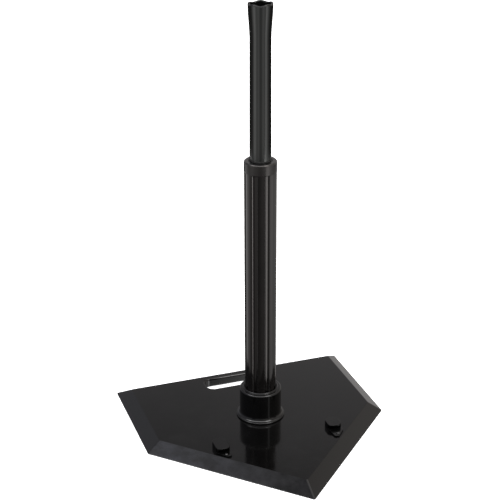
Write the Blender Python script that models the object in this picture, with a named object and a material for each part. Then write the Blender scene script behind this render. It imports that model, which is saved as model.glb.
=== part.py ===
"""Batting tee: a home-plate base, a fluted lower tube and a flexible upper tube with a ball cup.

Metres, +Z up. The origin is on the ground, on the axis of the post. +X runs along the plate's back
edge and +Y points from the post to the carrying handle, so the plate's apex is at -Y.
"""

from math import atan2, cos, pi, radians, sin, sqrt, tan

import bmesh
import bpy
from mathutils import Vector

GAP = 0.0003  # clearance between neighbouring pieces

# Base plate: the regulation home-plate outline
PLATE_WIDTH = 0.4318
PLATE_SIDE = PLATE_WIDTH / 2  # straight part of the two parallel sides
PLATE_APEX = PLATE_WIDTH / 2  # depth of the pointed front
BACK_EDGE_Y = 0.1780
PLATE_HEIGHT = 0.0171
PLATE_LIP = 0.0015  # upright edge below the bevel
BEVEL_RUN = 0.0234
PLATE_CORNER_R = 0.0040
TOP_EDGE_ROUND = 0.0010
TOP_EDGE_DROP = 0.6  # share of the rounding that lies below the top face

# Hollow underside
VOID_INSET = 0.0300
VOID_DEPTH = 0.0100
RIB_WIDTH = 0.0050
RIB_ANGLES = (0, 45, 90, 135)
BOSS_R = 0.0540
HOOK_PAD_R = 0.0110
VOID_ROOF_STEP = 0.0020  # how far below the hollow's roof the rivet pockets end
CUT_OVER = 0.0010  # how far cutters reach past the faces they cut

# Carrying-handle slot
SLOT_Y = 0.1255
SLOT_LENGTH = 0.1195
SLOT_WIDTH = 0.0350
SLOT_CORNER_R = 0.0120
SLOT_LIP_ROUND = 0.0035
SLOT_LIP_STEPS = 3
SLOT_WALL = 0.0080

# Socket collar, its lock ring and its floor
COLLAR_R = 0.0360
COLLAR_BORE_R = 0.0276
COLLAR_SHOULDER_Z = 0.0707
COLLAR_SHOULDER_ROUND = 0.0026
COLLAR_LIP_R = 0.0304  # guide lip round the lower tube
COLLAR_TOP_Z = 0.0729
COLLAR_LIP_ROUND = 0.0014
COLLAR_BOTTOM_Z = 0.0034
COLLAR_FOOT_R = 0.0417
COLLAR_FOOT_BEAD_R = 0.0016
COLLAR_FOOT_HEIGHT = 0.0105
LOCK_RING_R = 0.0470
LOCK_RING_Z = (0.0020, 0.0062)
LOCK_RING_CHAMFER = 0.0008
LOCK_POCKET_GAP = 0.0005
FLOOR_FLANGE_R = 0.0340
FLOOR_FLANGE_TOP_Z = 0.0031
FLOOR_TOP_Z = 0.0070

# Storage hooks and their rivets
HOOK_X = 0.1020
HOOK_WIDTH = 0.0240
HOOK_BACK_Y = -0.0708
HOOK_ROOF_REACH = {"left": 0.0340, "right": 0.0260}
HOOK_FOOT_REACH = 0.0465
HOOK_FOOT_SHOULDERS = (0.0305, 0.0240)  # where the foot begins to narrow, on its outer and its inner side
HOOK_TONGUE = (0.0020, 0.0100)  # the tongue's two sides, from the hook's middle towards the post
HOOK_TONGUE_ROUND = 0.0038
HOOK_FOOT_HEIGHT = 0.0024
HOOK_ROOF_WALL = 0.0030
HOOK_SIDE_WALL = 0.0024
HOOK_HEIGHT = 0.0100
HOOK_CORNER_R = 0.0078
HOOK_EDGE_ROUND = 0.0018
RIVET_X = 0.1000
RIVET_Y = -0.1108
RIVET_HEAD_R = 0.0026
RIVET_HEAD_HEIGHT = 0.0014
RIVET_HEAD_EDGE = 0.0003
RIVET_SHANK_R = 0.0013
RIVET_TAIL_GAP = 0.0010
RIVET_TAIL_HEIGHT = 0.0012

# Lower tube and the plug in its foot
STEM_R = 0.0271
STEM_BORE_R = 0.0197
STEM_Z = (0.0105, 0.4875)
STEM_EDGE_ROUND = 0.0018
FLUTE_COUNT = 8
FLUTE_PHASE = radians(95.5)  # direction of the first flute's centre, from +X
FLUTE_HALF_ANGLE = radians(10.0)
FLUTE_DEPTH = 0.0022
FLUTE_TOP_Z = 0.4690
FLUTE_RUNOUT = 0.0020
FLUTE_STEPS = 6  # facets across one flute
LAND_STEPS = 3  # facets across the land between two flutes
STEM_CHAMFER = 0.0008
PLUG_FLANGE_R = 0.0245
PLUG_FLANGE_Z = (0.0074, 0.0102)
PLUG_TOP_Z = 0.0320
PLUG_CHAMFER = 0.0010
PLUG_NOSE = 0.0020

# Bush inside the lower tube's mouth
BUSH_BORE_R = 0.0180
BUSH_Z = (0.4550, 0.4868)
BUSH_CHAMFER = 0.0005

# Upper tube, with a flange and a bead at its tail that hold the grip ring
TUBE_LOW_R = 0.0177
TUBE_HIGH_R = 0.0171
TUBE_BORE_R = 0.0135
TUBE_BOTTOM_Z = 0.2710
TUBE_TAPER_Z = 0.4900
TAIL_FLANGE_R = 0.0190
TAIL_FLANGE_TOP_Z = 0.2760
TAIL_BEAD_R = 0.0187
TAIL_BEAD_Z = (0.2953, 0.2990)
TAIL_BEAD_SLOPE = (0.0004, 0.0010)  # how the bead's crest leans inwards, and how far below its end
GRIP_RING_Z = (0.2763, 0.2950)
GRIP_RING_CHAMFER = 0.0006

# Ball cup at the top of the upper tube
FLARE_Z = 0.6876
CUP_R = 0.0201
CUP_BORE_R = 0.0162
CUP_TOP_Z = 0.7437
CUP_NECK = (0.0009, 0.0180)  # how far the flare has grown, and at what height above its start
CUP_SWELL = (0.0006, 0.0100)  # how far inside the rim's radius it is, and how far below the top
CUP_FLOOR_RISE = 0.0100
CUP_LOBES = 5
CUP_LOBE_PHASE = radians(70.0)  # direction of the first lobe, from +X
NOTCH_DEPTH = 0.0020
NOTCH_FADE = 0.0120  # height below the rim over which the scallops die away

# Coil in the upper tube and the plug under it
COIL_WIRE_R = 0.0014
COIL_Z = (0.2950, 0.6885)
COIL_TURNS = 14
COIL_STEPS = 12  # facets in one turn
COIL_SIDES = 6
COIL_PLUG_RISE = 0.0010  # its end lies this far inside the tube's end
COIL_PLUG_TOP_Z = 0.2930
COIL_PLUG_CHAMFER = 0.0010

ROUND_STEPS = 48
TUBE_STEPS = 50  # a multiple of the cup's lobes
SMALL_STEPS = 16
SHARP_ANGLE = radians(35)


# ---- scene, materials and mesh tools --------------------------------------------------------


def empty_scene():
    for old in list(bpy.data.objects):
        bpy.data.objects.remove(old, do_unlink=True)


def material(name, colour, roughness, metallic=0.0):
    made = bpy.data.materials.new(name)
    made.use_nodes = True
    shader = made.node_tree.nodes["Principled BSDF"]
    shader.inputs["Base Color"].default_value = (*colour, 1.0)
    shader.inputs["Roughness"].default_value = roughness
    shader.inputs["Metallic"].default_value = metallic
    return made


def add_pivot(name, parent, z):
    """An empty on the post's axis at height z, which carries a moving piece."""
    pivot = bpy.data.objects.new(name, None)
    bpy.context.scene.collection.objects.link(pivot)
    pivot.parent = parent
    pivot.location = (0, 0, z - (parent.matrix_world.translation.z if parent else 0))
    bpy.context.view_layer.update()
    return pivot


def add_piece(name, bm, finish, parent=None):
    """Makes an object from a bmesh in world coordinates. A child's mesh is stored about its parent."""
    bmesh.ops.recalc_face_normals(bm, faces=bm.faces)
    if bm.calc_volume(signed=True) < 0:
        bmesh.ops.reverse_faces(bm, faces=bm.faces)
    if parent:
        bmesh.ops.translate(bm, verts=bm.verts, vec=-parent.matrix_world.translation)
    mesh = bpy.data.meshes.new(name)
    bm.to_mesh(mesh)
    bm.free()
    mesh.shade_smooth()
    mesh.set_sharp_from_angle(angle=SHARP_ANGLE)
    if finish:
        mesh.materials.append(finish)
    made = bpy.data.objects.new(name, mesh)
    bpy.context.scene.collection.objects.link(made)
    made.parent = parent
    return made


def add_cutter(name, bm):
    cutter = add_piece(name, bm, None)
    cutter.hide_render = True
    cutter.display_type = "WIRE"
    return cutter


def cut(target, cutter, operation="DIFFERENCE"):
    modifier = target.modifiers.new(cutter.name, "BOOLEAN")
    modifier.operation = operation
    modifier.object = cutter
    modifier.solver = "EXACT"


def loft(rings, around=False):
    """Skins a stack of equal rings. With around the last ring joins the first, else both ends are capped."""
    bm = bmesh.new()
    rows = [[bm.verts.new(point) for point in ring] for ring in rings]
    pairs = list(zip(rows, rows[1:]))
    if around:
        pairs.append((rows[-1], rows[0]))
    else:
        bm.faces.new(rows[0])
        bm.faces.new(rows[-1])
    count = len(rows[0])
    for low, high in pairs:
        for i in range(count):
            j = (i + 1) % count
            bm.faces.new((low[i], low[j], high[j], high[i]))
    return bm


def circle(radius, z, steps=ROUND_STEPS, centre=(0, 0)):
    angles = [2 * pi * i / steps for i in range(steps)]
    return [(centre[0] + radius * cos(a), centre[1] + radius * sin(a), z) for a in angles]


def turned(profile, steps=ROUND_STEPS, around=False, centre=(0, 0)):
    """A turned piece from (radius, z) points. With around the points are a closed loop about a bore."""
    return loft([circle(radius, z, steps, centre) for radius, z in profile], around)


def arc(centre_r, centre_z, radius, start, end, steps=3):
    """Points of an arc in the (radius, z) plane between two angles in degrees."""
    angles = [radians(start + (end - start) * i / steps) for i in range(steps + 1)]
    return [(centre_r + radius * cos(a), centre_z + radius * sin(a)) for a in angles]


def sleeve(inner_r, outer_r, span, chamfer):
    """The closed (radius, z) profile of a plain ring with chamfered outer edges."""
    low, high = span
    return [
        (outer_r - chamfer, low),
        (outer_r, low + chamfer),
        (outer_r, high - chamfer),
        (outer_r - chamfer, high),
        (inner_r, high),
        (inner_r, low),
    ]


def block(centre, size, turn=0.0):
    """A box turned about the post's axis."""
    bm = bmesh.new()
    bmesh.ops.create_cube(bm, size=1)
    bmesh.ops.scale(bm, vec=size, verts=bm.verts)
    bmesh.ops.translate(bm, vec=centre, verts=bm.verts)
    for vert in bm.verts:
        x, y, z = vert.co
        vert.co = (x * cos(turn) - y * sin(turn), x * sin(turn) + y * cos(turn), z)
    return bm


# ---- outlines -----------------------------------------------------------------------------------


def plate_corners(inset):
    """Corners of the home-plate outline moved inwards, from the back left one round by the apex."""
    half = PLATE_WIDTH / 2 - inset
    side_y = BACK_EDGE_Y - PLATE_SIDE
    slant_y = side_y + inset * (sqrt(2) - 1)
    apex_y = side_y - PLATE_APEX + inset * sqrt(2)
    back_y = BACK_EDGE_Y - inset
    return [(-half, back_y), (-half, slant_y), (0, apex_y), (half, slant_y), (half, back_y)]


def rounded(corners, radius, steps=3):
    """An anticlockwise outline with each corner replaced by an arc."""
    corners = [Vector(corner) for corner in corners]
    points = []
    for i, corner in enumerate(corners):
        back = (corners[i - 1] - corner).normalized()
        ahead = (corners[(i + 1) % len(corners)] - corner).normalized()
        half_angle = back.angle(ahead) / 2
        centre = corner + (back + ahead).normalized() * radius / sin(half_angle)
        first = corner + back * radius / tan(half_angle) - centre
        start = atan2(first.y, first.x)
        sweep = pi - 2 * half_angle
        for step in range(steps + 1):
            angle = start + sweep * step / steps
            points.append((centre.x + radius * cos(angle), centre.y + radius * sin(angle)))
    return points


def plate_ring(inset, z):
    return [(x, y, z) for x, y in rounded(plate_corners(inset), PLATE_CORNER_R)]


def slot_ring(grow, z):
    """The handle slot's outline, grown outwards: an oblong along X with round corners."""
    half_x = SLOT_LENGTH / 2 + grow
    half_y = SLOT_WIDTH / 2 + grow
    corners = [
        (-half_x, SLOT_Y - half_y),
        (half_x, SLOT_Y - half_y),
        (half_x, SLOT_Y + half_y),
        (-half_x, SLOT_Y + half_y),
    ]
    return [(x, y, z) for x, y in rounded(corners, SLOT_CORNER_R + grow, 5)]


# ---- base -----------------------------------------------------------------------------------------


def plate_void():
    """The hollow under the plate, less the ribs and the solid bosses that cross it."""
    void = add_cutter("void_cutter", loft([plate_ring(VOID_INSET, z) for z in (-CUT_OVER, VOID_DEPTH)]))
    low, high = -2 * CUT_OVER, VOID_DEPTH + CUT_OVER
    for angle in RIB_ANGLES:
        bar = block((0, 0, (low + high) / 2), (2 * PLATE_WIDTH, RIB_WIDTH, high - low), radians(angle))
        cut(void, add_cutter(f"rib_guide_{angle}", bar))
    cut(void, add_cutter("boss_guide", turned([(BOSS_R, low), (BOSS_R, high)])))
    cut(void, add_cutter("slot_guide", loft([slot_ring(SLOT_WALL, z) for z in (low, high)])))
    for side in (-1, 1):
        pad = turned([(HOOK_PAD_R, low), (HOOK_PAD_R, high)], SMALL_STEPS, centre=(side * RIVET_X, RIVET_Y))
        cut(void, add_cutter(f"pad_guide_{side}", pad))
    return void


def slot_cutter():
    """The handle slot, with rounded lips at the plate's top and bottom faces."""
    lip = SLOT_LIP_ROUND
    turns = [pi / 2 * i / SLOT_LIP_STEPS for i in range(SLOT_LIP_STEPS + 1)]
    rings = [slot_ring(lip, -CUT_OVER)]
    rings += [slot_ring(lip * (1 - sin(a)), lip * (1 - cos(a))) for a in turns]
    rings += [slot_ring(lip * (1 - cos(a)), PLATE_HEIGHT - lip * (1 - sin(a))) for a in turns]
    rings.append(slot_ring(lip, PLATE_HEIGHT + CUT_OVER))
    return add_cutter("slot_cutter", loft(rings))


def base_plate(finish):
    rings = [
        plate_ring(0, 0),
        plate_ring(0, PLATE_LIP),
        plate_ring(BEVEL_RUN - TOP_EDGE_ROUND, PLATE_HEIGHT - TOP_EDGE_ROUND * TOP_EDGE_DROP),
        plate_ring(BEVEL_RUN + TOP_EDGE_ROUND / 2, PLATE_HEIGHT),
    ]
    plate = add_piece("base_plate", loft(rings), finish)
    cut(plate, plate_void())
    cut(plate, slot_cutter())
    low, high = -CUT_OVER, PLATE_HEIGHT + CUT_OVER
    hole_r = COLLAR_R + GAP
    pocket_r = LOCK_RING_R + LOCK_POCKET_GAP
    pocket_z = LOCK_RING_Z[1] + GAP
    hole = [(pocket_r, low), (pocket_r, pocket_z), (hole_r, pocket_z), (hole_r, high)]
    cut(plate, add_cutter("socket_cutter", turned(hole)))
    for name, side in (("left", -1), ("right", 1)):
        centre = (side * RIVET_X, RIVET_Y)
        shank_r, tail_r = RIVET_SHANK_R + GAP, RIVET_HEAD_R + RIVET_TAIL_GAP
        shank = turned([(shank_r, low), (shank_r, high)], SMALL_STEPS, centre=centre)
        tail = turned([(tail_r, low), (tail_r, VOID_DEPTH - VOID_ROOF_STEP)], SMALL_STEPS, centre=centre)
        cut(plate, add_cutter(f"rivet_hole_{name}", shank))
        cut(plate, add_cutter(f"rivet_pocket_{name}", tail))
    return plate


def socket_collar(finish):
    """A turned socket: a tube through the plate with a flared, beaded foot, a shoulder and a guide lip."""
    seat = PLATE_HEIGHT + GAP
    bead_r = COLLAR_FOOT_BEAD_R
    bead = arc(COLLAR_FOOT_R - bead_r, seat + bead_r, bead_r, -60, 80, 5)
    neck_r, neck_z = bead[-1]
    rise = seat + COLLAR_FOOT_HEIGHT - neck_z
    outside = [(COLLAR_R, COLLAR_BOTTOM_Z), (COLLAR_R, seat), *bead]
    for i in (1, 2, 3, 4):
        angle = pi / 2 * i / 4
        outside.append((neck_r - (neck_r - COLLAR_R) * sin(angle), neck_z + rise * (1 - cos(angle))))
    bend = COLLAR_SHOULDER_ROUND
    shoulder = arc(COLLAR_R - bend, COLLAR_SHOULDER_Z - bend, bend, 0, 90)
    edge = COLLAR_LIP_ROUND
    lip = [(COLLAR_LIP_R, COLLAR_SHOULDER_Z)]
    lip += arc(COLLAR_LIP_R - edge, COLLAR_TOP_Z - edge, edge, 0, 90)
    lip += arc(COLLAR_BORE_R + edge / 2, COLLAR_TOP_Z - edge / 2, edge / 2, 90, 180, 2)
    profile = outside + shoulder + lip + [(COLLAR_BORE_R, COLLAR_BOTTOM_Z)]
    return add_piece("socket_collar", turned(profile, around=True), finish)


def socket_lock_ring(finish):
    profile = sleeve(COLLAR_R + GAP, LOCK_RING_R, LOCK_RING_Z, LOCK_RING_CHAMFER)
    return add_piece("socket_lock_ring", turned(profile, around=True), finish)


def socket_floor(finish):
    """A stepped disc: its flange sits under the collar and its upper part plugs the bore."""
    plug_r = COLLAR_BORE_R - GAP
    profile = [
        (FLOOR_FLANGE_R, 0),
        (FLOOR_FLANGE_R, FLOOR_FLANGE_TOP_Z),
        (plug_r, FLOOR_FLANGE_TOP_Z),
        (plug_r, FLOOR_TOP_Z),
    ]
    return add_piece("socket_floor", turned(profile), finish)


def hook_profile(roof_reach):
    """The hook from the side, as (y, z) points: a low hood with a foot that runs out in front of it."""
    low = PLATE_HEIGHT + GAP
    high = low + HOOK_HEIGHT
    foot_z = low + HOOK_FOOT_HEIGHT
    back, front = HOOK_BACK_Y, HOOK_BACK_Y - roof_reach
    tip = HOOK_BACK_Y - HOOK_FOOT_REACH
    bend = HOOK_EDGE_ROUND
    turns = [pi / 2 * i / 3 for i in range(4)]
    return [
        (tip, low),
        (back, low),
        *[(back - bend * (1 - cos(a)), high - bend * (1 - sin(a))) for a in turns],
        *[(front + bend * (1 - sin(a)), high - bend * (1 - cos(a))) for a in turns],
        (front, foot_z),
        (tip, foot_z),
    ]


def hook_plan(name, side, roof_reach):
    """A prism that shapes the hook from above: a round-cornered hood, a foot narrowing to a tongue."""
    half = HOOK_WIDTH / 2
    back, front = HOOK_BACK_Y, HOOK_BACK_Y - roof_reach
    high = PLATE_HEIGHT + GAP + HOOK_HEIGHT + CUT_OVER
    hood = rounded([(-half, front), (half, front), (half, back), (-half, back)], HOOK_CORNER_R, 5)
    hood_rings = [[(side * HOOK_X + x, y, z) for x, y in hood] for z in (0, high)]
    plan = add_cutter(f"hook_hood_{name}", loft(hood_rings))
    tip = back - HOOK_FOOT_REACH
    outer_y, inner_y = (back - reach for reach in HOOK_FOOT_SHOULDERS)
    near, far = HOOK_TONGUE
    foot = [(near, tip), (far, tip), (half, inner_y), (half, back), (-half, back), (-half, outer_y)]
    low, foot_z = -CUT_OVER, PLATE_HEIGHT + GAP + HOOK_FOOT_HEIGHT
    outline = rounded(foot, HOOK_TONGUE_ROUND, 4)
    spade = loft([[(side * (HOOK_X - inward), y, z) for inward, y in outline] for z in (low, foot_z)])
    cut(plan, add_cutter(f"hook_foot_{name}", spade), "UNION")
    return plan


def stem_hook(name, side, finish):
    """A low hood, closed at its back and sides, that holds a stored tube's end; its foot takes the rivet."""
    half = HOOK_WIDTH / 2
    roof_reach = HOOK_ROOF_REACH[name]
    sides = [[(side * HOOK_X + x, y, z) for y, z in hook_profile(roof_reach)] for x in (-half, half)]
    hook = add_piece(f"stem_hook_{name}", loft(sides), finish)
    cut(hook, hook_plan(name, side, roof_reach), "INTERSECT")
    inner = half - HOOK_SIDE_WALL
    back, front = HOOK_BACK_Y - HOOK_SIDE_WALL, HOOK_BACK_Y - HOOK_FOOT_REACH - CUT_OVER
    low = PLATE_HEIGHT + GAP + HOOK_FOOT_HEIGHT
    high = PLATE_HEIGHT + GAP + HOOK_HEIGHT - HOOK_ROOF_WALL
    outline = rounded([(-inner, front), (inner, front), (inner, back), (-inner, back)], HOOK_CORNER_R / 2, 4)
    mouth = loft([[(side * HOOK_X + x, y, z) for x, y in outline] for z in (low, high)])
    cut(hook, add_cutter(f"hook_mouth_{name}", mouth))
    hole_r = RIVET_SHANK_R + GAP
    hole = [(hole_r, 0), (hole_r, high)]
    cut(hook, add_cutter(f"hook_hole_{name}", turned(hole, SMALL_STEPS, centre=(side * RIVET_X, RIVET_Y))))
    return hook


def hook_rivet(name, side, finish):
    """A domed rivet: head on the hook's foot, shank through the plate, clinched tail in the hollow."""
    seat = PLATE_HEIGHT + GAP + HOOK_FOOT_HEIGHT + GAP
    tail_z = VOID_DEPTH - VOID_ROOF_STEP - GAP
    edge = RIVET_HEAD_EDGE
    head = [
        (RIVET_HEAD_R * cos(a), seat + edge + (RIVET_HEAD_HEIGHT - edge) * sin(a))
        for a in (0, pi / 8, pi / 4, 3 * pi / 8)
    ]
    profile = [
        (RIVET_HEAD_R - edge, tail_z - RIVET_TAIL_HEIGHT),
        (RIVET_HEAD_R, tail_z - RIVET_TAIL_HEIGHT / 2),
        (RIVET_HEAD_R - edge, tail_z),
        (RIVET_SHANK_R, tail_z),
        (RIVET_SHANK_R, seat),
        (RIVET_HEAD_R, seat),
        *head,
    ]
    rivet = turned(profile, SMALL_STEPS, centre=(side * RIVET_X, RIVET_Y))
    return add_piece(f"hook_rivet_{name}", rivet, finish)


# ---- lower tube ---------------------------------------------------------------------------------


def flute_angles():
    """Facet directions round the lower tube, each with its place across a flute: 0 on the land, 1 mid-flute."""
    pitch = 2 * pi / FLUTE_COUNT
    land = pitch - 2 * FLUTE_HALF_ANGLE
    places = []
    for flute in range(FLUTE_COUNT):
        centre = FLUTE_PHASE + flute * pitch
        for i in range(FLUTE_STEPS):
            across = -1 + 2 * i / FLUTE_STEPS
            places.append((centre + across * FLUTE_HALF_ANGLE, 1 - across * across))
        for i in range(LAND_STEPS):
            places.append((centre + FLUTE_HALF_ANGLE + land * i / LAND_STEPS, 0))
    return places


def stem_ring(radius, z, depth=0.0):
    return [
        ((radius - depth * place) * cos(angle), (radius - depth * place) * sin(angle), z)
        for angle, place in flute_angles()
    ]


def lower_tube(finish, parent):
    """A thick tube, fluted from its foot to a plain band under the mouth."""
    low, high = STEM_Z
    edge = STEM_EDGE_ROUND
    inset = STEM_CHAMFER
    rings = [stem_ring(STEM_R - inset, low, FLUTE_DEPTH), stem_ring(STEM_R, low + inset, FLUTE_DEPTH)]
    for i in range(5):
        angle = pi / 2 * i / 4
        z = FLUTE_TOP_Z - FLUTE_RUNOUT * (1 - sin(angle))
        rings.append(stem_ring(STEM_R, z, FLUTE_DEPTH * cos(angle)))
    for radius, z in arc(STEM_R - edge, high - edge, edge, 0, 90):
        rings.append(stem_ring(radius, z))
    rings.append(stem_ring(STEM_BORE_R + inset, high))
    rings.append(stem_ring(STEM_BORE_R, high - inset))
    rings.append(stem_ring(STEM_BORE_R, low))
    return add_piece("lower_tube", loft(rings, around=True), finish, parent)


def stem_plug(finish, parent):
    """A stepped plug: a flange under the lower tube's end and a shank up its bore."""
    shank_r = STEM_BORE_R - GAP
    low, flange_top = PLUG_FLANGE_Z
    profile = [
        (PLUG_FLANGE_R - PLUG_CHAMFER, low),
        (PLUG_FLANGE_R, low + PLUG_CHAMFER),
        (PLUG_FLANGE_R, flange_top),
        (shank_r, flange_top),
        (shank_r, PLUG_TOP_Z - PLUG_NOSE),
        (shank_r - PLUG_NOSE, PLUG_TOP_Z),
    ]
    return add_piece("stem_plug", turned(profile), finish, parent)


def mouth_bush(finish, parent):
    profile = sleeve(BUSH_BORE_R, STEM_BORE_R - GAP, BUSH_Z, BUSH_CHAMFER)
    return add_piece("mouth_bush", turned(profile, around=True), finish, parent)


# ---- upper tube ---------------------------------------------------------------------------------


def grip_ring(finish, parent):
    profile = sleeve(TUBE_LOW_R + GAP, STEM_BORE_R - GAP, GRIP_RING_Z, GRIP_RING_CHAMFER)
    return add_piece("grip_ring", turned(profile, around=True), finish, parent)


def cup_ring(radius, z):
    """A ring of the upper tube. Near the top its height follows the scalloped rim."""
    share = max(0.0, 1 - (CUP_TOP_Z - z) / NOTCH_FADE)
    points = []
    for x, y, height in circle(radius, z, TUBE_STEPS):
        wave = (1 - cos(CUP_LOBES * (atan2(y, x) - CUP_LOBE_PHASE))) / 2
        points.append((x, y, height - NOTCH_DEPTH * wave * share))
    return points


def upper_tube(finish, parent):
    """A slim tube whose top flares to a five-lobed cup for the ball."""
    seat = (CUP_R - CUP_BORE_R) / 2
    rim = arc(CUP_R - seat, CUP_TOP_Z - seat, seat, 0, 180, 6)
    profile = [
        (TAIL_FLANGE_R, TUBE_BOTTOM_Z),
        (TAIL_FLANGE_R, TAIL_FLANGE_TOP_Z),
        (TUBE_LOW_R, TAIL_FLANGE_TOP_Z),
        (TUBE_LOW_R, TAIL_BEAD_Z[0]),
        (TAIL_BEAD_R, TAIL_BEAD_Z[0]),
        (TAIL_BEAD_R - TAIL_BEAD_SLOPE[0], TAIL_BEAD_Z[1] - TAIL_BEAD_SLOPE[1]),
        (TUBE_LOW_R, TAIL_BEAD_Z[1]),
        (TUBE_LOW_R, TUBE_TAPER_Z),
        (TUBE_HIGH_R, FLARE_Z),
        (TUBE_HIGH_R + CUP_NECK[0], FLARE_Z + CUP_NECK[1]),
        (CUP_R - CUP_SWELL[0], CUP_TOP_Z - CUP_SWELL[1]),
        *rim,
        (CUP_BORE_R, CUP_TOP_Z - CUP_SWELL[1]),
        (TUBE_BORE_R, FLARE_Z + CUP_FLOOR_RISE),
        (TUBE_BORE_R, TUBE_BOTTOM_Z),
    ]
    rings = [cup_ring(radius, z) for radius, z in profile]
    return add_piece("upper_tube", loft(rings, around=True), finish, parent)


def flex_coil(finish, parent):
    """The steel coil: a round wire swept along a helix inside the upper tube's bore."""
    coil_r = TUBE_BORE_R - GAP - COIL_WIRE_R
    low, high = COIL_Z
    bottom = low + COIL_WIRE_R
    climb = (high - low - 2 * COIL_WIRE_R) / COIL_TURNS
    slope = atan2(climb, 2 * pi * coil_r)
    rings = []
    for step in range(COIL_TURNS * COIL_STEPS + 1):
        turn = 2 * pi * step / COIL_STEPS
        outward = Vector((cos(turn), sin(turn), 0))
        along = Vector((-sin(turn) * cos(slope), cos(turn) * cos(slope), sin(slope)))
        upward = outward.cross(along)
        centre = outward * coil_r + Vector((0, 0, bottom + climb * step / COIL_STEPS))
        ring = []
        for side in range(COIL_SIDES):
            angle = 2 * pi * side / COIL_SIDES
            ring.append(centre + (outward * cos(angle) + upward * sin(angle)) * COIL_WIRE_R)
        rings.append(ring)
    return add_piece("flex_coil", loft(rings), finish, parent)


def coil_plug(finish, parent):
    plug_r = TUBE_BORE_R - GAP
    profile = [
        (plug_r, TUBE_BOTTOM_Z + COIL_PLUG_RISE),
        (plug_r, COIL_PLUG_TOP_Z - COIL_PLUG_CHAMFER),
        (plug_r - COIL_PLUG_CHAMFER, COIL_PLUG_TOP_Z),
    ]
    return add_piece("coil_plug", turned(profile), finish, parent)


# ---- assembly ------------------------------------------------------------------------------------


def build():
    empty_scene()
    base_plate(material("plate_rubber", (0.030, 0.029, 0.029), 0.42))
    socket_collar(material("collar_plastic", (0.010, 0.010, 0.010), 0.15))
    socket_lock_ring(material("lock_ring_steel", (0.45, 0.45, 0.46), 0.40, 1.0))
    socket_floor(material("floor_plastic", (0.020, 0.020, 0.020), 0.50))
    for name, side in (("left", -1), ("right", 1)):
        stem_hook(name, side, material(f"hook_plastic_{name}", (0.022, 0.022, 0.022), 0.30))
        hook_rivet(name, side, material(f"rivet_steel_{name}", (0.40, 0.39, 0.38), 0.30, 1.0))

    plug_pivot = add_pivot("stem_lift_pivot", None, STEM_Z[0])
    stem_plug(material("plug_plastic", (0.030, 0.030, 0.030), 0.50), plug_pivot)
    stem_pivot = add_pivot("stem_turn_pivot", plug_pivot, STEM_Z[0])
    lower_tube(material("stem_rubber", (0.024, 0.022, 0.021), 0.38), stem_pivot)
    mouth_bush(material("bush_plastic", (0.015, 0.015, 0.015), 0.45), stem_pivot)

    ring_pivot = add_pivot("height_pivot", stem_pivot, GRIP_RING_Z[0])
    grip_ring(material("grip_rubber", (0.018, 0.018, 0.018), 0.60), ring_pivot)
    tube_pivot = add_pivot("top_swivel_pivot", ring_pivot, GRIP_RING_Z[0])
    upper_tube(material("tube_rubber", (0.028, 0.028, 0.027), 0.32), tube_pivot)
    flex_coil(material("coil_steel", (0.50, 0.50, 0.51), 0.30, 1.0), tube_pivot)
    coil_plug(material("coil_plug_plastic", (0.020, 0.020, 0.020), 0.50), tube_pivot)


build()
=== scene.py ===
from math import atan2, cos, pi, radians, sin, sqrt, tan

import bmesh
import bpy
from mathutils import Matrix, Vector


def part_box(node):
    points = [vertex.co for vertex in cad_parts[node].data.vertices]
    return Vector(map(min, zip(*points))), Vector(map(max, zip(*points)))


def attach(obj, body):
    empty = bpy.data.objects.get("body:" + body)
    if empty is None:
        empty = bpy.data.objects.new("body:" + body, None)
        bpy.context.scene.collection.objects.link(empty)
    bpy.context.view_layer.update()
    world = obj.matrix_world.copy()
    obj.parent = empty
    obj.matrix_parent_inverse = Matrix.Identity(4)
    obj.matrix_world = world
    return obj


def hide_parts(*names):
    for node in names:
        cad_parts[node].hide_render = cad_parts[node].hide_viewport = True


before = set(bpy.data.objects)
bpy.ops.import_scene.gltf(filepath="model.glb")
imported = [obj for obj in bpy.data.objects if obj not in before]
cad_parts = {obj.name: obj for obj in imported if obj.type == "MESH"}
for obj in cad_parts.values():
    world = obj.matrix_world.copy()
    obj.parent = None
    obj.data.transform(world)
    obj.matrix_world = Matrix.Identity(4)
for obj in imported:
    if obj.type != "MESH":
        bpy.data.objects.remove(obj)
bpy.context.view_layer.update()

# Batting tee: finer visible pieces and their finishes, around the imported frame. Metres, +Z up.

ROUND_STEPS = 128
SMALL_STEPS = 40
SHARP_ANGLE = radians(30)
OVERCUT = 0.001  # how far a cutter passes through a face
TINY_ROUND = 0.0006

# Places and sizes that the frame gives
PLATE_LOW, PLATE_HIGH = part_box("base_plate")
COLLAR_LOW, COLLAR_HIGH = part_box("socket_collar")
LOCK_LOW, LOCK_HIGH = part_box("socket_lock_ring")
STEM_LOW, STEM_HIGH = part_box("lower_tube")
TUBE_LOW, TUBE_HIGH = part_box("upper_tube")
PLUG_LOW, PLUG_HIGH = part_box("stem_plug")
BUSH_LOW, BUSH_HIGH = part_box("mouth_bush")
FLOOR_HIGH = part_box("socket_floor")[1]
COIL_LOW, COIL_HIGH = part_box("flex_coil")
COIL_PLUG_LOW, COIL_PLUG_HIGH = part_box("coil_plug")
RING_LOW, RING_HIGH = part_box("grip_ring")
PLATE_WIDTH = PLATE_HIGH.x - PLATE_LOW.x
PLATE_HEIGHT = PLATE_HIGH.z
BACK_EDGE_Y = PLATE_HIGH.y

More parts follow.
